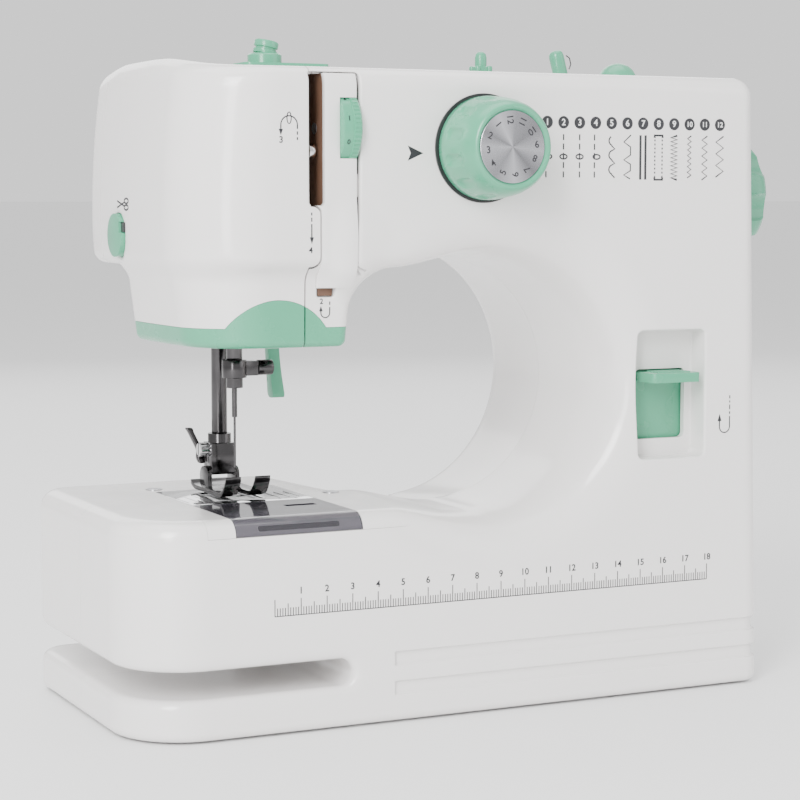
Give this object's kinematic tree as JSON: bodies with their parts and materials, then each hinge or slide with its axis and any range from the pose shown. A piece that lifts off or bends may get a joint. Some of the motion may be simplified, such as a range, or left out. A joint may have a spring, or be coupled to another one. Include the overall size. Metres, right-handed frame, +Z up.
{
  "type": "sewing machine",
  "caption": "Small household sewing machine with a round throat, free arm, pattern dial, thumbwheel tension, reverse lever, drop-in bobbin and full drive train.",
  "frame": {"origin": "centre of the bottom of the overall box, on the table under the feet", "axes": "+X to the right along the arm towards the handwheel, +Y from the front face to the rear, +Z up"},
  "size_m": [0.28, 0.1456, 0.2484],
  "materials": {
    "white_plastic": "gloss moulded ABS",
    "mint_plastic": "satin-gloss moulded ABS",
    "rubber": "matt",
    "chrome": "polished nickel plate",
    "dark_chrome": "dark polished nickel",
    "smoked_plastic": "smoked clear acrylic",
    "clear_plastic": "clear polystyrene",
    "steel": "ground steel",
    "black_plastic": "fine texture",
    "belt_rubber": "matt",
    "cast_frame": "die cast",
    "bronze": "sintered",
    "spun_aluminium": "spun",
    "nylon": "moulded",
    "lamp_lens": "frosted",
    "board": "solder mask"
  },
  "bodies": {
    "root": {"front_shell": "white_plastic", "rear_shell": "white_plastic", "face_cover": "white_plastic", "neck_trims": "mint_plastic", "guide_strip": "white_plastic", "base_plate": "white_plastic", "rubber_feet": "rubber", "bed_plate": "white_plastic", "needle_plate": "chrome", "screws": "chrome", "bobbin_case": "black_plastic", "motor": "steel", "drive_belts": "belt_rubber", "chassis": "cast_frame", "shaft_bushes": "bronze", "presser_spring": "steel", "tension_discs": "steel", "spool_pin_base": "mint_plastic", "winder_stop": "mint_plastic", "thread_guide": "mint_plastic", "thread_cutter": "mint_plastic", "lamp": "lamp_lens", "sockets": "black_plastic", "circuit_board": "board"},
    "needle_cradle": {"needle_cradle": "steel"},
    "needle_bar": {"needle_bar": "chrome", "needle_clamp": "chrome", "clamp_screw": "chrome", "needle": "chrome"},
    "needle_link": {"needle_link": "steel"},
    "main_shaft": {"main_shaft": "steel", "crank_disc": "steel", "upper_pulley": "black_plastic", "handwheel": "mint_plastic"},
    "lower_shaft": {"lower_shaft": "steel", "lower_pulley": "black_plastic", "lower_gear": "black_plastic"},
    "hook": {"hook": "steel", "hook_gear": "black_plastic"},
    "bobbin": {"bobbin": "clear_plastic"},
    "motor_rotor": {"motor_pulley": "steel"},
    "feed_carrier": {"feed_carrier": "steel"},
    "feed_dog": {"feed_dog": "steel"},
    "take_up_lever": {"take_up_lever": "chrome"},
    "presser_bar": {"presser_bar": "chrome", "foot_holder": "chrome", "foot_screw": "chrome"},
    "presser_foot": {"presser_foot": "dark_chrome"},
    "foot_release": {"foot_release": "dark_chrome"},
    "presser_lifter": {"presser_lifter": "mint_plastic"},
    "pattern_dial": {"pattern_dial": "mint_plastic", "dial_plate": "spun_aluminium", "pattern_cam": "nylon"},
    "tension_dial": {"tension_dial": "mint_plastic"},
    "reverse_lever": {"reverse_lever": "mint_plastic"},
    "spool_pin": {"spool_pin": "mint_plastic"},
    "winder_arm": {"winder_arm": "black_plastic"},
    "winder_spindle": {"winder_spindle": "mint_plastic"},
    "bobbin_cover": {"bobbin_cover": "smoked_plastic"},
    "power_switch": {"power_switch": "black_plastic"}
  },
  "joints": [
    {"name": "main_spin", "type": "hinge", "parent": "root", "child": "main_shaft", "pos_m": [0.06, 0.00475, 0.1905], "axis": [1, 0, 0], "continuous": true},
    {"name": "motor_spin", "type": "hinge", "parent": "root", "child": "motor_rotor", "pos_m": [0.06, 0.04075, 0.04], "axis": [1, 0, 0], "continuous": true},
    {"name": "lower_spin", "type": "hinge", "parent": "root", "child": "lower_shaft", "pos_m": [0.06, 0.01275, 0.045], "axis": [1, 0, 0], "continuous": true},
    {"name": "hook_spin", "type": "hinge", "parent": "root", "child": "hook", "pos_m": [-0.0792, -0.00625, 0.05], "axis": [0, 0, 1], "continuous": true},
    {"name": "bobbin_spin", "type": "hinge", "parent": "root", "child": "bobbin", "pos_m": [-0.0792, -0.00625, 0.06], "axis": [0, 0, 1], "continuous": true},
    {"name": "cradle_swing", "type": "hinge", "parent": "root", "child": "needle_cradle", "pos_m": [-0.087, 0.01275, 0.222], "axis": [0, 1, 0], "range_deg": [-0.85, 0.85]},
    {"name": "needle_stroke", "type": "slide", "parent": "needle_cradle", "child": "needle_bar", "axis": [0, 0, 1], "range_m": [-0.02, 0.008]},
    {"name": "link_swing", "type": "hinge", "parent": "needle_bar", "child": "needle_link", "pos_m": [-0.0792, 0.01275, 0.171], "axis": [1, 0, 0], "range_deg": [0, 60]},
    {"name": "take_up_swing", "type": "hinge", "parent": "root", "child": "take_up_lever", "pos_m": [-0.071, -0.01725, 0.206], "axis": [1, 0, 0], "range_deg": [-32, 32]},
    {"name": "lifter_swing", "type": "hinge", "parent": "root", "child": "presser_lifter", "pos_m": [-0.055, 0.03275, 0.176], "axis": [1, 0, 0], "range_deg": [0, 50]},
    {"name": "presser_lift", "type": "slide", "parent": "root", "child": "presser_bar", "axis": [0, 0, 1], "range_m": [0, 0.006]},
    {"name": "foot_rock", "type": "hinge", "parent": "presser_bar", "child": "presser_foot", "pos_m": [-0.0792, 0.02875, 0.0856], "axis": [1, 0, 0], "range_deg": [-6, 0]},
    {"name": "release_press", "type": "hinge", "parent": "presser_bar", "child": "foot_release", "pos_m": [-0.0792, 0.03575, 0.0895], "axis": [1, 0, 0], "range_deg": [-15, 0], "stiffness_Nm_per_rad": 0.05},
    {"name": "dial_turn", "type": "hinge", "parent": "root", "child": "pattern_dial", "pos_m": [-0.006, -0.04725, 0.2075], "axis": [0, 1, 0], "continuous": true},
    {"name": "tension_turn", "type": "hinge", "parent": "root", "child": "tension_dial", "pos_m": [-0.06, -0.03815, 0.214], "axis": [1, 0, 0], "range_deg": [-160, 160]},
    {"name": "reverse_press", "type": "slide", "parent": "root", "child": "reverse_lever", "axis": [0, 0, 1], "range_m": [-0.014, 0], "stiffness_N_per_m": 120},
    {"name": "spool_pin_lift", "type": "slide", "parent": "root", "child": "spool_pin", "axis": [0, 0, 1], "range_m": [0, 0.04]},
    {"name": "winder_shift", "type": "hinge", "parent": "root", "child": "winder_arm", "pos_m": [0.0634, 0.01275, 0.226], "axis": [0, 1, 0], "range_deg": [0, 15]},
    {"name": "winder_spin", "type": "hinge", "parent": "winder_arm", "child": "winder_spindle", "pos_m": [0.0634, 0.01275, 0.226], "axis": [-0.2588, 0, 0.9659], "continuous": true},
    {"name": "cover_slide", "type": "slide", "parent": "root", "child": "bobbin_cover", "axis": [0, -1, 0], "range_m": [0, 0.04]},
    {"name": "feed_lift", "type": "slide", "parent": "root", "child": "feed_carrier", "axis": [0, 0, 1], "range_m": [-0.0015, 0.001]},
    {"name": "feed_push", "type": "slide", "parent": "feed_carrier", "child": "feed_dog", "axis": [0, 1, 0], "range_m": [-0.0015, 0.0015]},
    {"name": "switch_rock", "type": "hinge", "parent": "root", "child": "power_switch", "pos_m": [0.11243, 0.03675, 0.048], "axis": [0, 0, 1], "range_deg": [-6, 6]}
  ],
  "couplings": [
    {"joint": "motor_spin", "follows": "main_spin", "ratio": 2.8333},
    {"joint": "lower_spin", "follows": "main_spin", "ratio": 1},
    {"joint": "hook_spin", "follows": "main_spin", "ratio": 2},
    {"joint": "lifter_swing", "follows": "presser_lift", "rad_per_m": 145.44}
  ]
}
